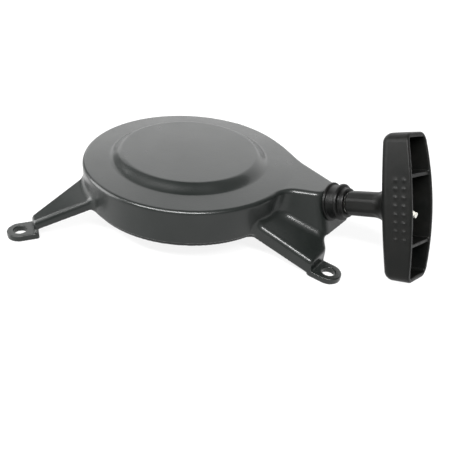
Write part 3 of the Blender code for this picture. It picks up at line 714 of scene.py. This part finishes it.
def build_handle(pull, looks):
    low, high = (-16.5, -41.5, 6.5), (16.5, 41.5, 54.5)
    piece = sculpted("grip_moulding", grip_field, low, high, 0.55, pull, looks["grip_plastic"])
    add(piece, "handle", "black_plastic", "handle_grip")
    first, last = -2.1, GRIP_FLOOR + 1.8
    path = [(0.0, 0.0, first + (last - first) * i / 160) for i in range(161)]
    lead = swept("cord_lead", path, CORD_R, pull, looks["cord"])
    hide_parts("rope_lead")
    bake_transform(lead)
    seat = pull @ Matrix.Translation((0, 0, GRIP_FLOOR + KNOT_RISE))
    knot = swept("stopper_knot", knot_path(KNOT_SIZE), KNOT_CORD_R, seat, looks["cord"])
    add(knot, "pull_cord", "cord", "handle_knot")
    end = [(0.6, -1.8, 0.6), (0.9, -3.0, 1.8), (1.0, -3.9, 3.2), (1.0, -4.4, 4.8)]
    tail = swept("cord_tail", end, TAIL_R, seat, looks["cord"])
    add(tail, "pull_cord", "cord")


def build_cord(drum, guide, looks):
    """The outer wrap and its run to the guide, and the layers under it."""
    to_drum = drum.inverted()
    throat = to_drum @ (guide @ Vector((0, 0, -3.0)))
    leave = atan2(throat.y, throat.x) + acos(CORD_WRAP_R / hypot(throat.x, throat.y))
    path = []
    for i in range(WRAP_STEPS):
        angle = leave + CORD_WRAP_ARC * (1 - i / WRAP_STEPS)
        path.append(Vector((CORD_WRAP_R * cos(angle), CORD_WRAP_R * sin(angle), CORD_WRAP_Z)))
    start = Vector((CORD_WRAP_R * cos(leave), CORD_WRAP_R * sin(leave), CORD_WRAP_Z))
    path += [start.lerp(throat, i / RUN_STEPS) for i in range(RUN_STEPS + 1)]
    run = swept("cord_run", path, CORD_R, drum, looks["cord"])
    add(run, "cover", "cord", "rope_run")
    layers = []
    for k in range(LAYER_TURNS * LAYER_STEPS + 1):
        angle = 2 * pi * k / LAYER_STEPS
        radius = LAYER_R + LAYER_SHIFT * min(1.0, max(0.0, (k - LAYER_SHIFT_AT) / LAYER_SHIFT_OVER))
        height = LAYER_Z + LAYER_RISE * float(smooth_step(k / LAYER_STEPS - 1.0))
        layers.append((radius * cos(angle), radius * sin(angle), height))
    wound = swept("cord_layers", layers, CORD_R, drum, looks["cord"], 16)
    add(wound, "reel", "cord", "rope_coil")


def carried_over(frame, looks):
    """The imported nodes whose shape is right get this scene's materials, soft edges and smooth shading."""
    slots = [material["slot"] for material in frame["record"]["materials"]]
    for node in frame["nodes"].values():
        if node.hide_render:
            continue
        packed = node.data.materials[0].name if node.data.materials else ""
        slot = next((s for s in slots if packed.startswith(s)), "zinc_steel")
        node.data.materials.clear()
        node.data.materials.append(looks[slot])
        weld = node.modifiers.new("weld", "WELD")
        weld.merge_threshold = 1e-6
        node.data.shade_smooth()
        split = node.modifiers.new("edges", "EDGE_SPLIT")
        split.split_angle = radians(35.0)


def build_studio(drum):
    camera_data = bpy.data.cameras.new("camera")
    camera_data.lens = CAMERA_LENS
    camera = bpy.data.objects.new("camera", camera_data)
    bpy.context.scene.collection.objects.link(camera)
    right = Vector((1.0, 0.0, 0.0))
    up = Vector((0.0, sin(CAMERA_TILT), cos(CAMERA_TILT)))
    into = Vector((0.0, cos(CAMERA_TILT), -sin(CAMERA_TILT)))
    c, q = cos(CAMERA_ROLL), sin(CAMERA_ROLL)
    rows = Matrix((right * c - up * q, right * q + up * c, -into)).transposed()
    at = drum @ Vector((CAMERA_AT[0], CAMERA_AT[1], CAMERA_AT[2] + RIM_Z))
    camera.matrix_world = Matrix.Translation(at) @ rows.to_4x4()
    bpy.context.scene.camera = camera

    floor_look = Look("studio_floor", (0.14, 0.14, 0.14), 0.9, 0.0, 0.0)
    floor_look.tinted(floor_look.noise(2.0), 0.3, 0.7, (0.135, 0.135, 0.135), (0.145, 0.145, 0.145))
    floor_look.set("Emission Color", (1.0, 1.0, 1.0, 1.0))
    floor_look.set("Emission Strength", 0.86)
    corners = [(FLOOR_HALF * a, FLOOR_HALF * b, FLOOR_Z) for a, b in ((-1, -1), (1, -1), (1, 1), (-1, 1))]
    floor = faceted("studio_floor", corners, [(0, 1, 2, 3)], Matrix.Identity(4), floor_look.material)

    world = bpy.data.worlds.new("studio")
    world.use_nodes = True
    world.node_tree.nodes["Background"].inputs["Color"].default_value = (1.0, 1.0, 1.0, 1.0)
    world.node_tree.nodes["Background"].inputs["Strength"].default_value = 0.34
    bpy.context.scene.world = world
    centre = drum @ Vector((20.0, 0.0, 30.0))
    softbox("back_box", centre, 4.0, 30.0, 1.1, (2.3, 1.0), 13.6)
    softbox("left_box", centre, 270.0, 16.0, 1.2, (0.8, 0.9), 17.0)
    softbox("front_strip", centre, 197.0, 52.0, 1.0, (1.2, 0.13), 32.0)
    scene = bpy.context.scene
    scene.view_settings.view_transform = "Standard"
    scene.view_settings.look = "None"


def softbox(name, centre, azimuth, elevation, distance, size, power):
    """A rectangular light that faces the object. Azimuth 0 is behind it, and 180 is on the camera's side."""
    a, e = radians(azimuth), radians(elevation)
    way = Vector((sin(a) * cos(e), cos(a) * cos(e), sin(e)))
    data = bpy.data.lights.new(name, "AREA")
    data.shape = "RECTANGLE"
    data.size, data.size_y = size
    data.energy = power
    made = bpy.data.objects.new(name, data)
    bpy.context.scene.collection.objects.link(made)
    made.location = centre + way * distance
    made.rotation_mode = "QUATERNION"
    made.rotation_quaternion = way.to_track_quat("Z", "Y")


def main():
    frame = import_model()
    post_low, post_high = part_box("centre_post")
    middle = (post_low + post_high) / 2
    drum = Matrix.Translation((middle.x, middle.y, 0.0)) @ Matrix.Scale(MM, 4)
    along = Vector(PULL_WAY)
    guide = drum @ axis_matrix(GUIDE_AT, along, 0.0)
    pull = drum @ axis_matrix(GUIDE_AT, along, GRIP_ROLL)
    build_studio(drum)
    looks = {
        "cover_paint": cover_paint(),
        "grip_plastic": grip_plastic(),
        "collar_plastic": collar_plastic(),
        "reel_plastic": reel_plastic(),
        "zinc_steel": metal("zinc_steel", (0.42, 0.42, 0.39), (0.62, 0.62, 0.60), 0.30, (1.0, 1.0, 6.0)),
        "spring_steel": metal("spring_steel", (0.10, 0.11, 0.14), (0.22, 0.23, 0.27), 0.28, (1.0, 1.0, 8.0)),
        "bronze": metal("bronze", (0.38, 0.24, 0.10), (0.56, 0.37, 0.17), 0.36, (1.0, 1.0, 1.0)),
        "cord": cord_fibre(),
    }
    looks["black_plastic"] = looks["collar_plastic"]
    build_cover(drum, looks)
    build_guide(guide, looks)
    build_handle(pull, looks)
    build_cord(drum, guide, looks)
    carried_over(frame, looks)
    bpy.context.view_layer.update()


main()
